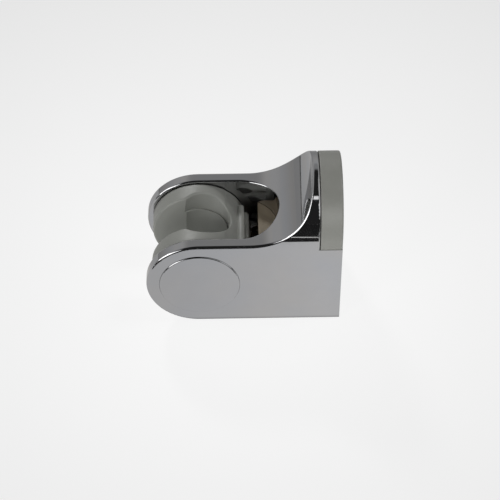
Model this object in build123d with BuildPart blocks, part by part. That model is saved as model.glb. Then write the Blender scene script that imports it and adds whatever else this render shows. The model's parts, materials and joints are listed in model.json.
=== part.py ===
from build123d import *
from math import cos, degrees, pi, radians, sin, sqrt, tan
import os

os.makedirs("parts", exist_ok=True)

# Hand shower holder: a chrome fork on an arched wall plate, with a swivelling cup between its cheeks.
# Millimetres. The wall is the plane Y = 0 and the holder stands out from it along -Y. Z is up, and
# Z = 0 is half way up the arms. X runs across the fork, along the cup's pivot, with X = 0 in the middle.

# Body
body_width = 47.5
arm_half_height = 24.0
cheek_reach = 63.8  # from the wall to the centre of the cheeks' round ends
arch_spring_height = 26.9  # where the straight sides at the wall turn into the arch
swoop_radius = 28.3
lip_thickness = 3.15  # chrome lip between the top of the swoop and the wall plate
edge_rounding = 1.0
slot_edge_rounding = 0.8
cheek_thickness = 5.5
slot_end_reach = 45.8  # from the wall to the centre of the slot's round end
shell_wall = 2.6
cavity_depth = 32.0  # how far the hollow reaches from the wall
cavity_roof_height = 36.0
locking_hole_radius = 2.6

# Wall plate
plate_thickness = 9.8
seam_height = 21.2  # below it the body's sides reach the wall
seam_gap = 0.3
fit_gap = 0.15  # between the plate and the body around it
plate_wall = 2.4
plate_web_width = 11.0
plate_edge_rounding = 0.8
plate_seam_rounding = 0.3  # front edge, at the seam with the body's lip
wall_hole_radius = 2.6
wall_hole_sink_radius = 4.9
wall_hole_spacing = 42.0
wall_holes_height = 11.0  # middle of the two holes
lug_width = 4.0
lug_height = 9.0
lug_reach = 3.2
lug_offset = 10.0

# Cup
cup_axis_height = 1.3
drum_radius = 21.5
drum_side_gap = 0.5
drum_end_rounding = 0.5
cup_lean = 7.0  # degrees that the socket leans back towards the wall when the cup is at rest
socket_mouth_radius = 12.2
socket_ledge_height = 11.3  # above the pivot, along the socket's axis
socket_ledge_step = 0.6
ledge_rounding = 0.3
socket_foot_radius = 9.9
hose_slot_width = 18.4
rim_rounding = 1.0
rear_step = 0.4  # how much lower the drum's back is, under the ribs
rear_step_top_angle = 55.7
rear_step_foot_angle = -50.0
rib_height = 2.3  # above the drum
rib_rooting = 3.2  # below the drum's surface
rib_width = 3.2
rib_pitch = 14.0
rib_count = 6
rib_first_angle = 30.5
rib_half_length = 12.6

# Pivots
cap_radius = 18.1
cap_recess_depth = 3.7
cap_gap = 0.1
cap_proud = 0.45
cap_wall = 1.2
cap_edge_rounding = 0.4
shank_radius = 7.0
running_clearance = 0.05
bush_flange_radius = 11.0
bush_flange_thickness = 1.0
washer_space = 0.8
washer_thickness = 0.35
washer_outer_radius = 10.2
washer_slack = 0.02
key_radius = 6.2
key_depth = 2.0
key_gap = 0.1
screw_radius = 2.0
screw_head_radius = 3.6
screw_tip_margin = 1.6  # cup wall between the screw's hole and the socket
screw_slack = 0.05
screw_socket_radius = 1.5
screw_socket_depth = 1.0
ring_radius = 10.8  # to the middle of the rubber ring's section
ring_section_radius = 0.75
ring_groove_width = 1.8
ring_contact_gap = 0.03  # between the rubber ring and the cheek

# Detent
block_front_reach = 27.0  # from the pivot back to the block's front face
block_top_height = 12.6
block_foot_inset = 1.0  # from the body's underside up to the block's
block_toe_reach = 21.6  # from the pivot back to the front of the block's toe
block_toe_height = 15.0  # of the toe, which stands behind the lower ribs
toe_gap = 0.8  # between the ribs' tips and the toe
leaf_width = 10.0
leaf_thickness = 0.4
leaf_slack = 0.1
leaf_channel_depth = 2.6
leaf_setback = 1.0  # from the block's front face to the leaf
leaf_foot_height = 5.0
leaf_tail_height = 7.0
leaf_cover = 2.5  # block above the channel
nose_reach = 1.9  # from the ribs' tips down to the nose's tip, in the groove between two ribs
nose_half_angle = 25.0
nose_bend_radius = 0.6
boss_radius = 3.6
boss_rise = 1.0
block_screw_radius = 1.5
block_screw_head_radius = 2.8
block_screw_head_height = 1.8
block_screw_length = 9.0
block_screw_insets = {"upper": 9.1, "lower": 11.0}  # from the block's top and from its foot

# Locking screw
insert_radius = 3.0
insert_length = 7.6
set_screw_radius = 2.0
set_screw_length = 8.6
set_screw_inset = 0.6
set_screw_socket_radius = 1.1
set_screw_socket_depth = 2.0
insert_slack = 0.02

# Derived places
half_width = body_width / 2
slot_half_width = half_width - cheek_thickness
lip_front_reach = plate_thickness + fit_gap + lip_thickness
swoop_centre = (-(lip_front_reach + swoop_radius), arm_half_height + swoop_radius)
arch_top = arch_spring_height + half_width
trim_height = arch_top + swoop_radius
total_reach = cheek_reach + arm_half_height
cavity_half_width = half_width - shell_wall
cavity_floor = shell_wall - arm_half_height
slot_wall_radius = slot_half_width + shell_wall
web_reach = slot_end_reach - slot_wall_radius  # hollow side of the wall behind the slot, on the centreline
pivot_y = -cheek_reach
cup_plane = Plane((0, pivot_y, cup_axis_height)).rotated((-cup_lean, 0, 0))  # its Z is the socket's axis
drum_half_width = slot_half_width - drum_side_gap
recess_floor = half_width - cap_recess_depth
flange_inner = recess_floor + washer_space
flange_outer = flange_inner + bush_flange_thickness
key_floor = drum_half_width - key_depth
cone_rise = socket_ledge_height + drum_radius
cone_growth = (socket_mouth_radius - socket_ledge_step - socket_foot_radius) / cone_rise
socket_radius_at_axis = socket_foot_radius + cone_growth * drum_radius
block_front = pivot_y + block_front_reach
block_foot = block_foot_inset - arm_half_height
block_screw_heights = {
    "upper": block_top_height - block_screw_insets["upper"],
    "lower": block_foot + block_screw_insets["lower"],
}
channel_foot = block_foot + leaf_foot_height + leaf_thickness
channel_top = block_top_height - leaf_cover
leaf_y = block_front + leaf_setback
rib_tip_radius = drum_radius + rib_height
groove_angle = rib_first_angle - rib_pitch * (rib_count // 2 - 0.5)
screw_seat_reach = web_reach - boss_rise
nose_tip_radius = rib_tip_radius - nose_reach
nose_height = cup_axis_height + nose_tip_radius * sin(radians(groove_angle))
nose_middle_y = pivot_y + nose_tip_radius * cos(radians(groove_angle)) + leaf_thickness / 2
nose_apex_y = nose_middle_y - nose_bend_radius * (1 / sin(radians(nose_half_angle)) - 1)
nose_half_base = (leaf_y - nose_apex_y) * tan(radians(nose_half_angle))
screw_hole_floor = socket_radius_at_axis + screw_tip_margin
ring_centre = slot_half_width - ring_contact_gap - ring_section_radius
ring_groove_depth = drum_half_width - ring_centre + ring_section_radius + screw_slack
rib_depth = rib_height + rib_rooting
rib_centre_radius = rib_tip_radius - rib_depth / 2


def arch_sketch(side, bottom):
    """Face with straight sides and a half-round top, in the plane of the wall."""
    with BuildSketch(Plane.XZ) as face:
        with BuildLine():
            Line((-side, arch_spring_height), (-side, bottom))
            Line((-side, bottom), (side, bottom))
            Line((side, bottom), (side, arch_spring_height))
            ThreePointArc(
                (side, arch_spring_height),
                (0, arch_spring_height + side),
                (-side, arch_spring_height),
            )
        make_face()
    return face.sketch


def point_on_swoop(radius, height):
    """Y of the swoop's arc, or of one concentric with it, at a height."""
    return swoop_centre[0] + sqrt(radius**2 - (swoop_centre[1] - height) ** 2)


def on_slot_wall(edge):
    """True for an edge that lies on the wall of the fork's slot, seen in plan."""
    for share in (0.1, 0.5, 0.9):
        point = edge.position_at(share)
        behind = max(point.Y + slot_end_reach, 0)
        if abs(sqrt(point.X**2 + behind**2) - slot_half_width) > 0.01:
            return False
    return True


# Hollow of the body, open toward the wall and following the slot's round end
with BuildPart() as body_hollow:
    with BuildSketch(Plane.YZ):
        roof_radius = swoop_radius + shell_wall
        front_height = swoop_centre[1] - sqrt(roof_radius**2 - (cavity_depth + swoop_centre[0]) ** 2)
        roof_y = point_on_swoop(roof_radius, cavity_roof_height)
        middle_height = (front_height + cavity_roof_height) / 2
        with BuildLine():
            Line((1, cavity_floor), (-cavity_depth, cavity_floor))
            Line((-cavity_depth, cavity_floor), (-cavity_depth, front_height))
            ThreePointArc(
                (-cavity_depth, front_height),
                (point_on_swoop(roof_radius, middle_height), middle_height),
                (roof_y, cavity_roof_height),
            )
            Line((roof_y, cavity_roof_height), (1, cavity_roof_height))
            Line((1, cavity_roof_height), (1, cavity_floor))
        make_face()
    extrude(amount=half_width, both=True)
    extrude(arch_sketch(cavity_half_width, cavity_floor), amount=total_reach, both=True, mode=Mode.INTERSECT)
    with BuildSketch(Plane.XY.offset(-arm_half_height)):
        with Locations((0, -slot_end_reach)):
            Circle(slot_wall_radius)
    extrude(amount=trim_height, mode=Mode.SUBTRACT)
    with BuildSketch(Plane.XZ.offset(screw_seat_reach)):
        with Locations(*[(0, height) for height in block_screw_heights.values()]):
            Circle(boss_radius)
    extrude(amount=cavity_depth, mode=Mode.SUBTRACT)

# Body: side profile with the swoop, cut to the arch, forked, hollowed and rounded
with BuildPart() as body_shell:
    with BuildSketch(Plane.YZ):
        lip_back = -(plate_thickness + fit_gap)
        with BuildLine():
            Line((-cheek_reach, -arm_half_height), (0, -arm_half_height))
            Line((0, -arm_half_height), (0, seam_height))
            Line((0, seam_height), (lip_back, seam_height))
            Line((lip_back, seam_height), (lip_back, trim_height))
            Line((lip_back, trim_height), (-lip_front_reach, trim_height))
            Line((-lip_front_reach, trim_height), (-lip_front_reach, swoop_centre[1]))
            ThreePointArc(
                (-lip_front_reach, swoop_centre[1]),
                (
                    swoop_centre[0] + swoop_radius * cos(pi / 4),
                    swoop_centre[1] - swoop_radius * sin(pi / 4),
                ),
                (swoop_centre[0], arm_half_height),
            )
            Line((swoop_centre[0], arm_half_height), (-cheek_reach, arm_half_height))
            ThreePointArc(
                (-cheek_reach, arm_half_height),
                (-total_reach, 0),
                (-cheek_reach, -arm_half_height),
            )
        make_face()
    extrude(amount=half_width, both=True)
    extrude(arch_sketch(half_width, -arm_half_height), amount=total_reach, mode=Mode.INTERSECT)
    crown = body_shell.faces().filter_by(lambda face: abs(face.center().X) < 0.01 and face.center().Y < -lip_front_reach)
    fillet(crown.edges().filter_by(Axis.X, reverse=True), edge_rounding)
    with BuildSketch(Plane.XY.offset(-arm_half_height)):
        with Locations((0, -slot_end_reach)):
            Circle(slot_half_width)
        with Locations((0, -(slot_end_reach + total_reach) / 2)):
            Rectangle(2 * slot_half_width, total_reach - slot_end_reach)
    extrude(amount=trim_height, mode=Mode.SUBTRACT)
    slot_edges = body_shell.edges().filter_by(on_slot_wall).filter_by(Axis.Z, reverse=True)
    fillet(slot_edges, slot_edge_rounding)
    add(body_hollow.part, mode=Mode.SUBTRACT)
    # pivot recess and bore in each cheek
    for side in (-1, 1):
        with BuildSketch(Plane.YZ.offset(side * recess_floor)):
            with Locations((pivot_y, 0)):
                Circle(cap_radius + cap_gap)
        extrude(amount=side * cheek_thickness, mode=Mode.SUBTRACT)
        with BuildSketch(Plane.YZ.offset(side * slot_half_width / 2)):
            with Locations((pivot_y, cup_axis_height)):
                Circle(shank_radius + running_clearance)
        extrude(amount=side * half_width, mode=Mode.SUBTRACT)
    # screw holes through the wall behind the slot
    with BuildSketch(Plane.XZ.offset(web_reach - 2 * boss_rise)):
        with Locations(*[(0, height) for height in block_screw_heights.values()]):
            Circle(block_screw_radius + screw_slack)
    extrude(amount=shell_wall + 3 * boss_rise, mode=Mode.SUBTRACT)
    # access hole for the locking screw in the underside
    with BuildSketch(Plane.XY.offset(-arm_half_height)):
        with Locations((0, -plate_thickness / 2)):
            Circle(locking_hole_radius)
    extrude(amount=shell_wall, mode=Mode.SUBTRACT)
body_shell.part.label = "body_shell"
export_step(body_shell.part, "parts/body_shell.step")

# Cup: a drum with a conical socket, a slot for the hose and ribs for the detent
def on_drum_face(edge):
    """True for an edge on the drum's round face, away from its two ends."""
    for share in (0.1, 0.5, 0.9):
        point = edge.position_at(share)
        if abs(point.X) > drum_half_width - drum_end_rounding:
            return False
        if abs(sqrt((point.Y - pivot_y) ** 2 + (point.Z - cup_axis_height) ** 2) - drum_radius) > 0.01:
            return False
    return True


with BuildPart() as swivel_cup:
    with BuildSketch(Plane.YZ.offset(-drum_half_width)):
        with Locations((pivot_y, cup_axis_height)):
            Circle(drum_radius)
    extrude(amount=2 * drum_half_width)
    # socket: straight mouth, small ledge, then the cone of the hose's nut
    with BuildSketch(Plane(cup_plane.origin, x_dir=cup_plane.x_dir, z_dir=-cup_plane.y_dir)) as socket_profile:
        ledge_radius = socket_mouth_radius - socket_ledge_step
        with BuildLine():
            Polyline(
                (0, drum_radius),
                (socket_mouth_radius, drum_radius),
                (socket_mouth_radius, socket_ledge_height),
                (ledge_radius, socket_ledge_height),
                (socket_foot_radius, -drum_radius),
                (0, -drum_radius),
                close=True,
            )
        make_face()
        ledge_corner = socket_profile.vertices().filter_by(lambda corner: abs(corner.X - ledge_radius) < 0.01)
        fillet(ledge_corner, ledge_rounding)
    revolve(axis=Axis(cup_plane.origin, cup_plane.z_dir), mode=Mode.SUBTRACT)
    with BuildSketch(cup_plane.offset(-drum_radius)):
        with Locations((0, -drum_radius)):
            Rectangle(hose_slot_width, 2 * drum_radius)
    extrude(amount=2 * drum_radius, mode=Mode.SUBTRACT)
    fillet(swivel_cup.edges().filter_by(on_drum_face), rim_rounding)
    for end in (-1, 1):
        end_face = swivel_cup.faces().sort_by(Axis.X)[0 if end < 0 else -1]
        fillet(end_face.outer_wire().edges(), drum_end_rounding)
    # shallow step across the back of the drum, and the ribs that stand on it
    step_lean = degrees(rear_step / drum_radius)
    step_sweep = rear_step_top_angle - rear_step_foot_angle
    with BuildSketch(Plane.YZ.offset(-drum_half_width)):
        with BuildLine():
            drum_centre = (pivot_y, cup_axis_height)
            low_arc = CenterArc(
                drum_centre, drum_radius - rear_step, rear_step_foot_angle + step_lean, step_sweep - 2 * step_lean
            )
            high_arc = CenterArc(
                drum_centre, drum_radius + rear_step, rear_step_foot_angle - step_lean, step_sweep + 2 * step_lean
            )
            Line(low_arc @ 0, high_arc @ 0)
            Line(low_arc @ 1, high_arc @ 1)
        make_face()
    extrude(amount=2 * drum_half_width, mode=Mode.SUBTRACT)
    with BuildSketch(Plane.YZ.offset(-rib_half_length)):
        with Locations((pivot_y, cup_axis_height)):
            with PolarLocations(rib_centre_radius, rib_count, rib_first_angle, -rib_pitch * rib_count):
                SlotOverall(rib_depth, rib_width)
    extrude(amount=2 * rib_half_length)
    # seats of the bushes, grooves of the rubber rings and screw holes in both ends
    for side in (-1, 1):
        with BuildSketch(Plane.YZ.offset(side * key_floor)):
            with Locations((pivot_y, cup_axis_height)):
                RegularPolygon(key_radius + key_gap, 6)
        extrude(amount=side * key_depth, mode=Mode.SUBTRACT)
        with BuildSketch(Plane.YZ.offset(side * (drum_half_width - ring_groove_depth))):
            with Locations((pivot_y, cup_axis_height)):
                Circle(ring_radius + ring_groove_width / 2)
                Circle(ring_radius - ring_groove_width / 2, mode=Mode.SUBTRACT)
        extrude(amount=side * ring_groove_depth, mode=Mode.SUBTRACT)
        with BuildSketch(Plane.YZ.offset(side * screw_hole_floor)):
            with Locations((pivot_y, cup_axis_height)):
                Circle(screw_radius + screw_slack)
        extrude(amount=side * (key_floor - screw_hole_floor), mode=Mode.SUBTRACT)
swivel_cup.part.label = "swivel_cup"
export_step(swivel_cup.part, "parts/swivel_cup.step")

# Wall plate: arched head in the open and a tongue inside the body, hollowed from the back
with BuildPart() as wall_plate:
    tongue_half_width = cavity_half_width - fit_gap
    tongue_foot = cavity_floor + fit_gap
    head_foot = seam_height + seam_gap
    extrude(arch_sketch(half_width, head_foot), amount=plate_thickness)
    head_rims = wall_plate.faces().filter_by(Axis.Y).edges().filter_by(
        lambda edge: edge.center().Z > head_foot + 0.01
    )
    fillet(head_rims.group_by(Axis.Y)[-1], plate_edge_rounding)
    seam_rim = wall_plate.faces().sort_by(Axis.Y)[0].edges().filter_by(
        lambda edge: edge.center().Z > head_foot + 0.01
    )
    fillet(seam_rim, plate_seam_rounding)
    with BuildSketch(Plane.XZ):
        with Locations((0, (tongue_foot + arch_spring_height) / 2)):
            Rectangle(2 * tongue_half_width, arch_spring_height - tongue_foot)
    extrude(amount=plate_thickness)
    # pockets in the back, either side of a middle web
    extrude(
        arch_sketch(half_width - plate_wall, head_foot + plate_wall),
        amount=plate_thickness - plate_wall,
        mode=Mode.SUBTRACT,
    )
    with BuildSketch(Plane.XZ):
        with Locations((0, (tongue_foot + plate_wall + arch_spring_height) / 2)):
            Rectangle(2 * (tongue_half_width - plate_wall), arch_spring_height - tongue_foot - plate_wall)
    extrude(amount=plate_thickness - plate_wall, mode=Mode.SUBTRACT)
    with BuildSketch(Plane.XZ):
        web_top = arch_top - plate_wall / 2
        with Locations((0, (tongue_foot + web_top) / 2)):
            Rectangle(plate_web_width, web_top - tongue_foot)
    extrude(amount=plate_thickness)
    # lugs that carry the roof of the body's hollow
    lug_top = cavity_roof_height - fit_gap
    with BuildSketch(Plane.XZ.offset(plate_thickness - plate_wall / 2)):
        with Locations((-lug_offset, lug_top - lug_height / 2), (lug_offset, lug_top - lug_height / 2)):
            Rectangle(lug_width, lug_height)
    extrude(amount=plate_wall / 2 + lug_reach)
    # wall screw holes, and the locking screw's insert hole in the tongue's foot
    with Locations(Plane.XZ.offset(plate_thickness)):
        with Locations((0, wall_holes_height - wall_hole_spacing / 2), (0, wall_holes_height + wall_hole_spacing / 2)):
            CounterSinkHole(wall_hole_radius, wall_hole_sink_radius, depth=plate_thickness)
    with BuildSketch(Plane.XY.offset(tongue_foot)):
        with Locations((0, -plate_thickness / 2)):
            Circle(insert_radius + insert_slack)
    extrude(amount=insert_length + insert_slack, mode=Mode.SUBTRACT)
wall_plate.part.label = "wall_plate"
export_step(wall_plate.part, "parts/wall_plate.step")

# Pivot parts, the same on both sides
for side, name in ((-1, "left"), (1, "right")):
    outer = side * (half_width + cap_proud)

    # round cap over the pivot, a shallow cup seated in the cheek's recess
    with BuildPart() as pivot_cap:
        with BuildSketch(Plane.YZ.offset(side * recess_floor)):
            with Locations((pivot_y, 0)):
                Circle(cap_radius)
        extrude(amount=side * (cap_recess_depth + cap_proud))
        outer_rim = pivot_cap.edges().group_by(Axis.X)[-1 if side > 0 else 0]
        fillet(outer_rim, cap_edge_rounding)
        with BuildSketch(Plane.YZ.offset(side * recess_floor)):
            with Locations((pivot_y, 0)):
                Circle(cap_radius - cap_wall)
        extrude(amount=side * (cap_recess_depth + cap_proud - cap_wall), mode=Mode.SUBTRACT)
    pivot_cap.part.label = f"pivot_cap_{name}"
    export_step(pivot_cap.part, f"parts/pivot_cap_{name}.step")

    # bush: flange in the recess, shank through the cheek, six-sided key in the cup
    with BuildPart() as pivot_bush:
        with BuildSketch(Plane.YZ.offset(side * drum_half_width)):
            with Locations((pivot_y, cup_axis_height)):
                Circle(shank_radius)
        extrude(amount=side * (flange_outer - drum_half_width))
        with BuildSketch(Plane.YZ.offset(side * flange_inner)):
            with Locations((pivot_y, cup_axis_height)):
                Circle(bush_flange_radius)
        extrude(amount=side * bush_flange_thickness)
        with BuildSketch(Plane.YZ.offset(side * (key_floor + key_gap))):
            with Locations((pivot_y, cup_axis_height)):
                RegularPolygon(key_radius, 6)
        extrude(amount=side * (key_depth - key_gap))
        with Locations(Plane((side * flange_outer, pivot_y, cup_axis_height), z_dir=(side, 0, 0))):
            CounterSinkHole(screw_radius + screw_slack, screw_head_radius + screw_slack)
    pivot_bush.part.label = f"pivot_bush_{name}"
    export_step(pivot_bush.part, f"parts/pivot_bush_{name}.step")

    # countersunk screw with a six-sided socket
    with BuildPart() as pivot_screw:
        head_face = flange_outer - screw_slack
        with BuildSketch(Plane.XY.offset(cup_axis_height)):
            with BuildLine():
                Polyline(
                    (side * head_face, pivot_y),
                    (side * head_face, pivot_y + screw_head_radius),
                    (side * (head_face - screw_head_radius + screw_radius), pivot_y + screw_radius),
                    (side * (screw_hole_floor + screw_slack), pivot_y + screw_radius),
                    (side * (screw_hole_floor + screw_slack), pivot_y),
                    close=True,
                )
            make_face()
        revolve(axis=Axis((0, pivot_y, cup_axis_height), (1, 0, 0)))
        with BuildSketch(Plane.YZ.offset(side * (head_face - screw_socket_depth))):
            with Locations((pivot_y, cup_axis_height)):
                RegularPolygon(screw_socket_radius, 6)
        extrude(amount=side * screw_socket_depth, mode=Mode.SUBTRACT)
    pivot_screw.part.label = f"pivot_screw_{name}"
    export_step(pivot_screw.part, f"parts/pivot_screw_{name}.step")

    # curved spring washer between the cheek and the bush's flange
    with BuildPart() as spring_washer:
        bow = washer_space - washer_thickness - 2 * washer_slack
        bow_radius = (washer_outer_radius**2 + bow**2) / (2 * bow)
        crest_x = flange_inner - washer_slack - washer_thickness
        bow_centre_x = side * (crest_x - bow_radius)
        with BuildSketch(Plane.XY.offset(cup_axis_height - washer_outer_radius)):
            with Locations((bow_centre_x, pivot_y)):
                Circle(bow_radius + washer_thickness)
                Circle(bow_radius, mode=Mode.SUBTRACT)
        extrude(amount=2 * washer_outer_radius)
        with BuildSketch(Plane.YZ.offset(side * recess_floor)):
            with Locations((pivot_y, cup_axis_height)):
                Circle(washer_outer_radius)
                Circle(shank_radius + 3 * running_clearance, mode=Mode.SUBTRACT)
        extrude(amount=side * washer_space, mode=Mode.INTERSECT)
    spring_washer.part.label = f"spring_washer_{name}"
    export_step(spring_washer.part, f"parts/spring_washer_{name}.step")

    # rubber ring in the groove of the cup's end, against the cheek
    with BuildPart() as friction_ring:
        with BuildSketch(Plane.XY.offset(cup_axis_height)):
            with Locations((side * ring_centre, pivot_y + ring_radius)):
                Circle(ring_section_radius)
        revolve(axis=Axis((0, pivot_y, cup_axis_height), (1, 0, 0)))
    friction_ring.part.label = f"friction_ring_{name}"
    export_step(friction_ring.part, f"parts/friction_ring_{name}.step")

# Detent block: fills the foot of the slot behind the cup, with a low toe and a channel for the leaf
with BuildPart() as detent_block:
    with BuildSketch(Plane.YZ):
        block_back = slot_half_width - slot_end_reach
        toe_front = pivot_y + block_toe_reach
        toe_top = block_foot + block_toe_height
        with BuildLine():
            Polyline(
                (block_back, block_top_height),
                (block_front, block_top_height),
                (block_front, toe_top),
                (toe_front, toe_top),
                (toe_front, block_foot),
                (block_back, block_foot),
                close=True,
            )
        make_face()
        with Locations((pivot_y, cup_axis_height)):
            Circle(rib_tip_radius + toe_gap, mode=Mode.SUBTRACT)
    extrude(amount=slot_half_width, both=True)
    with BuildSketch(Plane.XY.offset(block_foot)):
        with Locations((0, -slot_end_reach)):
            Circle(slot_half_width - fit_gap)
        with Locations((0, -slot_end_reach - slot_half_width / 2)):
            Rectangle(2 * (slot_half_width - fit_gap), slot_half_width)
    extrude(amount=block_top_height - block_foot, mode=Mode.INTERSECT)
    with BuildSketch(Plane.XZ.offset(-block_front)):
        with Locations((0, (channel_top + channel_foot) / 2)):
            Rectangle(leaf_width + 2 * leaf_slack, channel_top - channel_foot)
    extrude(amount=-leaf_channel_depth, mode=Mode.SUBTRACT)
    with BuildSketch(Plane.XY.offset(channel_foot)):
        with Locations((0, leaf_y)):
            Rectangle(leaf_width + 2 * leaf_slack, leaf_thickness + 2 * leaf_slack)
    extrude(amount=-leaf_foot_height, mode=Mode.SUBTRACT)
    with BuildSketch(Plane.XZ.offset(screw_seat_reach)):
        with Locations(*[(0, height) for height in block_screw_heights.values()]):
            Circle(block_screw_radius + screw_slack)
    extrude(amount=block_screw_length + screw_slack, mode=Mode.SUBTRACT)
detent_block.part.label = "detent_block"
export_step(detent_block.part, "parts/detent_block.step")

# Detent spring: a steel leaf bent to a nose that stands between two ribs
with BuildPart() as detent_spring:
    with BuildSketch(Plane.YZ):
        with BuildLine():
            FilletPolyline(
                (leaf_y, channel_foot - leaf_foot_height + leaf_slack),
                (leaf_y, nose_height - nose_half_base),
                (nose_apex_y, nose_height),
                (leaf_y, nose_height + nose_half_base),
                (leaf_y, leaf_tail_height),
                radius=nose_bend_radius,
            )
        trace(line_width=leaf_thickness)
    extrude(amount=leaf_width / 2, both=True)
detent_spring.part.label = "detent_spring"
export_step(detent_spring.part, "parts/detent_spring.step")

# Screws that hold the block, put in from the hollow before the body goes on its plate
for name, height in block_screw_heights.items():
    with BuildPart() as block_screw:
        with BuildSketch(Plane.XZ.offset(screw_seat_reach)):
            with Locations((0, height)):
                Circle(block_screw_radius)
        extrude(amount=block_screw_length)
        with BuildSketch(Plane.XZ.offset(screw_seat_reach)):
            with Locations((0, height)):
                Circle(block_screw_head_radius)
        extrude(amount=-block_screw_head_height)
        fillet(block_screw.edges().group_by(Axis.Y)[-1], block_screw_head_height / 2)
        with BuildSketch(Plane.XZ.offset(screw_seat_reach - block_screw_head_height)):
            with Locations((0, height)):
                RegularPolygon(screw_socket_radius, 6)
        extrude(amount=screw_socket_depth, mode=Mode.SUBTRACT)
    block_screw.part.label = f"detent_screw_{name}"
    export_step(block_screw.part, f"parts/detent_screw_{name}.step")

# Brass insert in the tongue's foot and the set screw that locks the body on the plate
with BuildPart() as locking_insert:
    with BuildSketch(Plane.XY.offset(tongue_foot)):
        with Locations((0, -plate_thickness / 2)):
            Circle(insert_radius)
            Circle(set_screw_radius + insert_slack, mode=Mode.SUBTRACT)
    extrude(amount=insert_length)
locking_insert.part.label = "locking_insert"
export_step(locking_insert.part, "parts/locking_insert.step")

with BuildPart() as locking_screw:
    set_screw_foot = set_screw_inset - arm_half_height
    with BuildSketch(Plane.XY.offset(set_screw_foot)):
        with Locations((0, -plate_thickness / 2)):
            Circle(set_screw_radius)
    extrude(amount=set_screw_length)
    chamfer(locking_screw.edges().filter_by(GeomType.CIRCLE), set_screw_radius / 6)
    with BuildSketch(Plane.XY.offset(set_screw_foot)):
        with Locations((0, -plate_thickness / 2)):
            RegularPolygon(set_screw_socket_radius, 6)
    extrude(amount=set_screw_socket_depth, mode=Mode.SUBTRACT)
locking_screw.part.label = "locking_screw"
export_step(locking_screw.part, "parts/locking_screw.step")
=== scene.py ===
"""Looks of a hand shower holder: chrome fork and pivot caps, grey plastic wall plate and cup."""

import json
from math import cos, pi, radians, sin

import bpy
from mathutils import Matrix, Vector


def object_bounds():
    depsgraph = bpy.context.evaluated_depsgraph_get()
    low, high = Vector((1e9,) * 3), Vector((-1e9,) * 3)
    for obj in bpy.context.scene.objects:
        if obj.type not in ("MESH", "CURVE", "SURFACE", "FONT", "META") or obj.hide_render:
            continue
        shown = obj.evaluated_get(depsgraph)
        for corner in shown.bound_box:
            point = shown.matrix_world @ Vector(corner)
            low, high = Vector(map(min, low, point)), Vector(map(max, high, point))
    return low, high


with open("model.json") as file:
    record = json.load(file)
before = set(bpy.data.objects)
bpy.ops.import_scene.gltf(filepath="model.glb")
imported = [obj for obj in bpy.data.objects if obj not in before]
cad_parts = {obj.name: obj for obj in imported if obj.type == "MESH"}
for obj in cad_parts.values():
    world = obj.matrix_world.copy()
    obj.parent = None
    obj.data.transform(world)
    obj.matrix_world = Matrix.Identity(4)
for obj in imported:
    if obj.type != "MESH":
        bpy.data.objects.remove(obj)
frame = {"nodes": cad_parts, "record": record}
cad_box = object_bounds()

MM = 0.001

# Camera, fitted to the outline in the photograph; angles in degrees
CAMERA_AZIMUTH = 88.86
CAMERA_ELEVATION = 46.42
CAMERA_ROLL = -0.03
CAMERA_TARGET = Vector((0.0, -40.6, -2.78)) * MM
CAMERA_DISTANCE = 806.4 * MM
CAMERA_LENS = 125.8
CAMERA_SENSOR = 36.0
CAMERA_NEAR = 0.05
CAMERA_FAR = 20.0

# Floor and room
FLOOR_HEIGHT = cad_box[0].z - 0.2 * MM
FLOOR_SIZE = 6.0
FLOOR_GREY = 0.12
FLOOR_GLOW = 0.86
FLOOR_RIM_GLOW = 0.68
FLOOR_GLOW_START = 0.05
FLOOR_GLOW_REACH = 0.30
ROOM_GLOW = 0.02

# Tints of the patches in what the chrome mirrors
WARM_LIGHT = (1.02, 1.0, 0.98, 1.0)
COOL_LIGHT = (0.975, 0.985, 1.01, 1.0)
DOME_MOTTLE = 0.5
CARD_MOTTLE = 0.05

# Dome: its radius, its dark ground and the levels of its areas
DOME_RADIUS = 2.4
DARK_LEVEL = 0.02
WALL_FOOT_LEVEL = 0.30
WALL_LEVEL = 0.40
WALL_TOP_LEVEL = 0.28
FRONT_LEVEL = 2.8
SIDE_LEVEL = 1.0
HIGH_LEVEL = 0.5
LAMP_LEVEL = 1.2

# Heights on the dome, in degrees, between which the wall goes from its foot's level to its full level
WALL_FOOT = 2.0
WALL_FULL = 26.0

# Floor card: strips along Y at places on X, which is positive towards the camera
CARD_RADIUS = 0.99 * DOME_RADIUS
CARD_LIFT = 0.1 * MM
# Near the object the card is dimmer than the floor's glow: painted shade of the object on the floor, seen
# only in the chrome
NEAR_FRONT_LEVEL = 0.57
NEAR_BACK_LEVEL = 0.68
NEAR_HALF_LENGTH = 35 * MM  # along Y
BEHIND_LEVEL = 0.43
BEHIND_START = -40 * MM
REMOTE_LEVEL = 0.28
REMOTE_START = -190 * MM
EDGE_LEVEL = 0.06
EDGE_WIDTH = 22 * MM
FAR_LEVEL = 0.015
DARK_START = 75 * MM
LINE_LEVEL = 0.8
LINE_START = 101 * MM
LINE_END = 107 * MM

# Shade on the floor card under the object
SHADE_LEVEL = 0.04
SHADE_HALF_WIDTH = 22 * MM  # on X
SHADE_HALF_LENGTH = 42 * MM  # along Y

# Soft boxes: how far all of them are from the object, and their powers in watts
SOFT_BOX_REACH = 1.4
BACK_POWER = 6.9
CAMERA_SIDE_POWER = 5.2
FRONT_CORNER_POWER = 4.9
REAR_POWER = 4.1


def opaque(red, green, blue):
    """Colour with full alpha."""
    return (red, green, blue, 1.0)


def grey(value):
    """Opaque neutral colour."""
    return opaque(value, value, value)


def outward(bearing, height):
    """Unit vector at a bearing from +X towards -Y and a height above the horizon, in degrees."""
    b = radians(bearing)
    h = radians(height)
    return Vector((cos(b) * cos(h), -sin(b) * cos(h), sin(h)))


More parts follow.
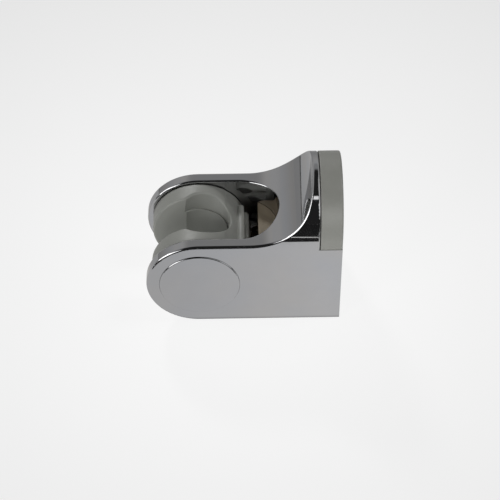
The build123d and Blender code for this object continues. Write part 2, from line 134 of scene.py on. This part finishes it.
class Shader:
    """A material's node tree with short calls for the nodes used here."""

    def __init__(self, name):
        self.material = bpy.data.materials.new(name)
        self.material.use_nodes = True
        self.tree = self.material.node_tree
        self.tree.nodes.clear()
        self.output = self.node("ShaderNodeOutputMaterial")

    def node(self, kind, **settings):
        """New node with the given settings."""
        made = self.tree.nodes.new(kind)
        for key, value in settings.items():
            setattr(made, key, value)
        return made

    def join(self, source, target):
        """Link from an output to an input."""
        self.tree.links.new(source, target)

    def feed(self, value, target):
        """Sets an input to a number, or links it when the value is an output."""
        if isinstance(value, (int, float)):
            target.default_value = value
        else:
            self.join(value, target)

    def place(self, scale=(1.0, 1.0, 1.0)):
        """Object coordinates in metres, scaled per axis."""
        coordinates = self.node("ShaderNodeTexCoord")
        mapping = self.node("ShaderNodeMapping")
        mapping.inputs["Scale"].default_value = scale
        self.join(coordinates.outputs["Object"], mapping.inputs["Vector"])
        return mapping.outputs["Vector"]

    def noise(self, grain, detail=2.0, roughness=0.5, stretch=(1.0, 1.0, 1.0)):
        """Noise whose features are about `grain` metres across."""
        texture = self.node("ShaderNodeTexNoise")
        texture.inputs["Scale"].default_value = 1.0 / grain
        texture.inputs["Detail"].default_value = detail
        texture.inputs["Roughness"].default_value = roughness
        self.join(self.place(stretch), texture.inputs["Vector"])
        return texture.outputs["Fac"]

    def spread(self, source, low, high, start=0.3, end=0.7):
        """Maps a value from start..end to low..high."""
        ramp = self.node("ShaderNodeMapRange")
        ramp.inputs["From Min"].default_value = start
        ramp.inputs["From Max"].default_value = end
        ramp.inputs["To Min"].default_value = low
        ramp.inputs["To Max"].default_value = high
        self.join(source, ramp.inputs["Value"])
        return ramp.outputs["Result"]

    def tint(self, source, first, second):
        """Colour between two colours."""
        mix = self.node("ShaderNodeMix", data_type="RGBA")
        mix.inputs[6].default_value = first
        mix.inputs[7].default_value = second
        self.join(source, mix.inputs["Factor"])
        return mix.outputs[2]

    def bump(self, height, depth, below=None):
        """Bump whose full height is `depth` metres, on top of another bump if one is given."""
        made = self.node("ShaderNodeBump")
        made.inputs["Strength"].default_value = 1.0
        made.inputs["Distance"].default_value = depth
        self.join(height, made.inputs["Height"])
        if below is not None:
            self.join(below, made.inputs["Normal"])
        return made.outputs["Normal"]

    def surface(self, color, roughness, normal, metallic=0.0):
        """Finished material with a principled shader."""
        shader = self.node("ShaderNodeBsdfPrincipled")
        shader.inputs["Metallic"].default_value = metallic
        self.join(color, shader.inputs["Base Color"])
        self.join(roughness, shader.inputs["Roughness"])
        self.join(normal, shader.inputs["Normal"])
        self.join(shader.outputs["BSDF"], self.output.inputs["Surface"])
        return self.material


class Pattern(Shader):
    """Emission made of soft-edged areas in the coordinates of the card or dome that carries it."""

    def __init__(self, name):
        super().__init__(name)
        coordinates = self.node("ShaderNodeTexCoord")
        axes = self.node("ShaderNodeSeparateXYZ")
        self.join(coordinates.outputs["Object"], axes.inputs[0])
        self.x, self.y, self.z = axes.outputs
        self.value = 0.0
        self.material.cycles.emission_sampling = "NONE"

    def math(self, operation, first, second=0.0):
        """Result of a maths node on numbers or outputs."""
        made = self.node("ShaderNodeMath", operation=operation)
        self.feed(first, made.inputs[0])
        self.feed(second, made.inputs[1])
        return made.outputs[0]

    def degrees(self, angle):
        """An angle in radians, in degrees."""
        return self.math("MULTIPLY", angle, 180 / pi)

    def between(self, source, low, high, soft):
        """1 inside low..high, falling to 0 over `soft` outside."""
        rise = self.node("ShaderNodeMapRange", interpolation_type="SMOOTHSTEP")
        rise.inputs["From Min"].default_value = low - soft
        rise.inputs["From Max"].default_value = low
        self.join(source, rise.inputs["Value"])
        fall = self.node("ShaderNodeMapRange", interpolation_type="SMOOTHSTEP")
        fall.inputs["From Min"].default_value = high
        fall.inputs["From Max"].default_value = high + soft
        fall.inputs["To Min"].default_value = 1.0
        fall.inputs["To Max"].default_value = 0.0
        self.join(source, fall.inputs["Value"])
        return self.math("MULTIPLY", rise.outputs[0], fall.outputs[0])

    def paint(self, mask, level):
        """Sets the emission to `level`, a number or an output, where the mask is 1."""
        mix = self.node("ShaderNodeMix", data_type="FLOAT")
        self.join(mask, mix.inputs["Factor"])
        self.feed(self.value, mix.inputs[2])
        self.feed(level, mix.inputs[3])
        self.value = mix.outputs[0]

    def finish(self, mottle):
        """Finished material, with faint warm and cool patches about `mottle` metres across."""
        emission = self.node("ShaderNodeEmission")
        patches = self.spread(self.noise(mottle, detail=3.0), low=0.0, high=1.0, start=0.35, end=0.65)
        self.join(self.tint(patches, WARM_LIGHT, COOL_LIGHT), emission.inputs["Color"])
        self.feed(self.value, emission.inputs["Strength"])
        self.join(emission.outputs[0], self.output.inputs["Surface"])
        return self.material


# Materials of the CAD nodes


def chrome_plate():
    """Chrome on moulded plastic: a faint waviness, hairline wipe marks and dull specks."""
    s = Shader("chrome_plate")
    waves = s.bump(s.noise(14 * MM, detail=1.0), depth=0.012 * MM)
    hairlines = s.noise(0.5 * MM, detail=3.0, stretch=(1.0, 0.06, 1.0))
    normal = s.bump(hairlines, depth=0.0003 * MM, below=waves)
    color = s.tint(s.noise(9 * MM, detail=4.0), opaque(0.535, 0.54, 0.55), opaque(0.57, 0.57, 0.575))
    roughness = s.spread(s.noise(4 * MM, detail=5.0), low=0.045, high=0.085)
    return s.surface(color, roughness, normal, metallic=1.0)


def moulded_plastic(name, dark, light, rough=(0.36, 0.46)):
    """Moulded plastic with a fine satin grain and slightly uneven colour."""
    s = Shader(name)
    orange_peel = s.bump(s.noise(2.2 * MM), depth=0.006 * MM)
    normal = s.bump(s.noise(0.16 * MM), depth=0.0022 * MM, below=orange_peel)
    color = s.tint(s.noise(7 * MM, detail=4.0, roughness=0.6), dark, light)
    roughness = s.spread(s.noise(1.5 * MM, detail=4.0), *rough)
    return s.surface(color, roughness, normal)


def turned_metal(name, dark, light):
    """Screws, leaf and insert: fine turning or rolling marks."""
    s = Shader(name)
    marks = s.noise(0.12 * MM, detail=3.0, stretch=(1.0, 0.2, 1.0))
    normal = s.bump(marks, depth=0.0015 * MM)
    color = s.tint(s.noise(1.2 * MM, detail=3.0), dark, light)
    roughness = s.spread(marks, low=0.16, high=0.3)
    return s.surface(color, roughness, normal, metallic=1.0)


def rubber():
    """Black moulded rubber."""
    s = Shader("rubber")
    normal = s.bump(s.noise(0.2 * MM, detail=3.0), depth=0.004 * MM)
    color = s.tint(s.noise(1.5 * MM), grey(0.012), grey(0.022))
    roughness = s.spread(s.noise(0.6 * MM), low=0.62, high=0.78)
    return s.surface(color, roughness, normal)


def paint_nodes():
    """Gives every CAD node the material of its slot in the record."""
    finishes = {
        "chrome": chrome_plate(),
        "plate_plastic": moulded_plastic(
            "plate_plastic", dark=opaque(0.285, 0.288, 0.262), light=opaque(0.315, 0.318, 0.292)
        ),
        "cup_plastic": moulded_plastic(
            "cup_plastic",
            dark=opaque(0.275, 0.28, 0.258),
            light=opaque(0.305, 0.31, 0.286),
            rough=(0.44, 0.54),
        ),
        "bush_plastic": moulded_plastic(
            "bush_plastic", dark=opaque(0.62, 0.60, 0.54), light=opaque(0.68, 0.66, 0.60)
        ),
        "block_plastic": moulded_plastic(
            "block_plastic", dark=opaque(0.27, 0.215, 0.14), light=opaque(0.32, 0.26, 0.175)
        ),
        "spring_steel": turned_metal(
            "spring_steel", dark=opaque(0.05, 0.045, 0.04), light=opaque(0.09, 0.08, 0.07)
        ),
        "steel": turned_metal("steel", dark=grey(0.50), light=opaque(0.60, 0.60, 0.59)),
        "brass": turned_metal("brass", dark=opaque(0.62, 0.44, 0.20), light=opaque(0.74, 0.56, 0.28)),
        "rubber": rubber(),
    }
    for part in frame["record"]["subparts"]:
        faces = frame["nodes"][part["node"]].data
        faces.materials.clear()
        faces.materials.append(finishes[part["material_slot"]])


# Camera, room and floor


def add_camera():
    """The photograph's view. An azimuth of 90 is a bearing of 0."""
    out = outward(90.0 - CAMERA_AZIMUTH, CAMERA_ELEVATION)
    data = bpy.data.cameras.new("camera")
    data.lens = CAMERA_LENS
    data.sensor_width = CAMERA_SENSOR
    data.clip_start = CAMERA_NEAR
    data.clip_end = CAMERA_FAR
    camera = bpy.data.objects.new("camera", data)
    camera.location = CAMERA_TARGET + out * CAMERA_DISTANCE
    camera.rotation_euler = (-out).to_track_quat("-Z", "Y").to_euler()
    camera.rotation_euler.rotate_axis("Z", radians(CAMERA_ROLL))
    bpy.context.scene.collection.objects.link(camera)
    bpy.context.scene.camera = camera
    bpy.context.scene.view_settings.view_transform = "Standard"


def add_room():
    """World with a very weak even glow."""
    world = bpy.data.worlds.new("room")
    world.use_nodes = True
    background = world.node_tree.nodes["Background"]
    background.inputs["Color"].default_value = grey(1.0)
    background.inputs["Strength"].default_value = ROOM_GLOW
    bpy.context.scene.world = world


def floor_finish():
    """Matt grey that also glows, a little less far from the object, so that it looks pale and even."""
    s = Shader("floor")
    distance = s.node("ShaderNodeVectorMath", operation="LENGTH")
    s.join(s.place(), distance.inputs[0])
    reach = distance.outputs["Value"]
    glow = s.spread(reach, low=FLOOR_GLOW, high=FLOOR_RIM_GLOW, start=FLOOR_GLOW_START, end=FLOOR_GLOW_REACH)
    emission = s.node("ShaderNodeEmission")
    s.join(glow, emission.inputs["Strength"])
    matt = s.node("ShaderNodeBsdfDiffuse")
    matt.inputs["Color"].default_value = grey(FLOOR_GREY)
    total = s.node("ShaderNodeAddShader")
    s.join(emission.outputs[0], total.inputs[0])
    s.join(matt.outputs[0], total.inputs[1])
    s.join(total.outputs[0], s.output.inputs["Surface"])
    return s.material


def add_floor():
    """Pale floor under the object."""
    bpy.ops.mesh.primitive_plane_add(size=FLOOR_SIZE, location=(0, CAMERA_TARGET.y, FLOOR_HEIGHT))
    floor = bpy.context.object
    floor.name = "floor"
    floor.data.materials.append(floor_finish())
    return floor


# Surroundings that only the chrome mirrors


def unseen(card):
    """Leaves a card to mirror reflections alone: it isn't seen, casts no shadow and lights nothing matt."""
    card.visible_camera = False
    card.visible_diffuse = False
    card.visible_shadow = False
    card.visible_transmission = False
    card.visible_volume_scatter = False


def dome_finish():
    """Dark room with a grey wall behind the object and a few soft lights. Angles are in degrees."""
    p = Pattern("studio_dome")
    p.value = DARK_LEVEL
    height = p.degrees(p.math("ARCSINE", p.math("DIVIDE", p.z, DOME_RADIUS)))
    bearing = p.degrees(p.math("ARCTAN2", p.math("MULTIPLY", p.y, -1.0), p.x))
    off_back = p.math("SUBTRACT", 180.0, p.math("ABSOLUTE", bearing))

    def area(turn, turns, heights, level, soft):
        """Soft-edged area between two turns, which are bearings or angles off the back."""
        p.paint(p.math("MULTIPLY", p.between(turn, *turns, soft), p.between(height, *heights, soft)), level)

    wall_shade = p.spread(height, low=WALL_FOOT_LEVEL, high=WALL_LEVEL, start=WALL_FOOT, end=WALL_FULL)
    # Grey wall behind the object, and its darker top
    area(off_back, turns=(-1.0, 115.0), heights=(-90.0, 50.0), level=wall_shade, soft=3.0)
    area(off_back, turns=(-1.0, 115.0), heights=(43.0, 52.0), level=WALL_TOP_LEVEL, soft=8.0)
    # Soft box in front, weaker one at the wall's side and a large weak one high behind that side
    area(bearing, turns=(34.0, 90.0), heights=(8.0, 30.0), level=FRONT_LEVEL, soft=4.0)
    area(bearing, turns=(-100.0, -45.0), heights=(4.0, 30.0), level=SIDE_LEVEL, soft=8.0)
    area(bearing, turns=(-125.0, -40.0), heights=(38.0, 76.0), level=HIGH_LEVEL, soft=8.0)
    # Lamp over the camera
    area(bearing, turns=(-8.6, -4.6), heights=(54.6, 59.2), level=LAMP_LEVEL, soft=2.4)
    return p.finish(DOME_MOTTLE)


def add_dome():
    """What the chrome mirrors above the horizon."""
    bpy.ops.mesh.primitive_uv_sphere_add(
        segments=64, ring_count=32, radius=DOME_RADIUS, location=(0, CAMERA_TARGET.y, 0)
    )
    dome = bpy.context.object
    dome.name = "studio_dome"
    unseen(dome)
    dome.data.materials.append(dome_finish())


def floor_card_finish():
    """Pale around the object but dimmer there than the floor's glow, as painted shade of the object; grey
    behind it, dark towards the camera but for one bright line; painted shadow under the object.
    """
    p = Pattern("floor_card")
    p.value = p.spread(
        p.y, low=NEAR_FRONT_LEVEL, high=NEAR_BACK_LEVEL, start=-NEAR_HALF_LENGTH, end=NEAR_HALF_LENGTH
    )
    p.paint(p.between(p.x, -DOME_RADIUS, BEHIND_START, soft=40 * MM), BEHIND_LEVEL)
    p.paint(p.between(p.x, -DOME_RADIUS, REMOTE_START, soft=3 * MM), REMOTE_LEVEL)
    p.paint(p.between(p.x, REMOTE_START - EDGE_WIDTH, REMOTE_START, soft=3 * MM), EDGE_LEVEL)
    p.paint(p.between(p.x, DARK_START, DOME_RADIUS, soft=2 * MM), FAR_LEVEL)
    p.paint(p.between(p.x, LINE_START, LINE_END, soft=1 * MM), LINE_LEVEL)
    across = p.between(p.x, -SHADE_HALF_WIDTH, SHADE_HALF_WIDTH, soft=4 * MM)
    along = p.between(p.y, -SHADE_HALF_LENGTH, SHADE_HALF_LENGTH, soft=4 * MM)
    p.paint(p.math("MULTIPLY", across, along), SHADE_LEVEL)
    return p.finish(CARD_MOTTLE)


def add_floor_card():
    """What the chrome mirrors below the horizon, just above the floor."""
    bpy.ops.mesh.primitive_circle_add(
        vertices=96,
        radius=CARD_RADIUS,
        fill_type="NGON",
        location=(0, CAMERA_TARGET.y, FLOOR_HEIGHT + CARD_LIFT),
    )
    floor_card = bpy.context.object
    floor_card.name = "floor_card"
    unseen(floor_card)
    floor_card.data.materials.append(floor_card_finish())


# Lights


def matt_collection(floor):
    """The floor and every piece but the chrome ones."""
    matt_things = bpy.data.collections.new("matt_things")
    matt_things.objects.link(floor)
    for part in frame["record"]["subparts"]:
        if part["material_slot"] != "chrome":
            matt_things.objects.link(frame["nodes"][part["node"]])
    return matt_things


def soft_box(name, bearing, height, size, power, lit):
    """Square area light that points at the object and lights only what is in the collection `lit`."""
    out = outward(bearing, height)
    data = bpy.data.lights.new(name, "AREA")
    data.shape = "SQUARE"
    data.size = size
    data.energy = power
    lamp = bpy.data.objects.new(name, data)
    lamp.location = CAMERA_TARGET + out * SOFT_BOX_REACH
    lamp.rotation_euler = out.to_track_quat("Z", "Y").to_euler()
    lamp.light_linking.receiver_collection = lit
    bpy.context.scene.collection.objects.link(lamp)


paint_nodes()
add_camera()
add_room()
floor = add_floor()
add_dome()
add_floor_card()

lit = matt_collection(floor)
soft_box("back_soft_box", bearing=160.0, height=37.0, size=0.2, power=BACK_POWER, lit=lit)
soft_box("camera_side_soft_box", bearing=0.0, height=20.0, size=0.8, power=CAMERA_SIDE_POWER, lit=lit)
soft_box("front_corner_soft_box", bearing=45.0, height=20.0, size=0.4, power=FRONT_CORNER_POWER, lit=lit)
soft_box("rear_soft_box", bearing=-90.0, height=57.0, size=0.3, power=REAR_POWER, lit=lit)
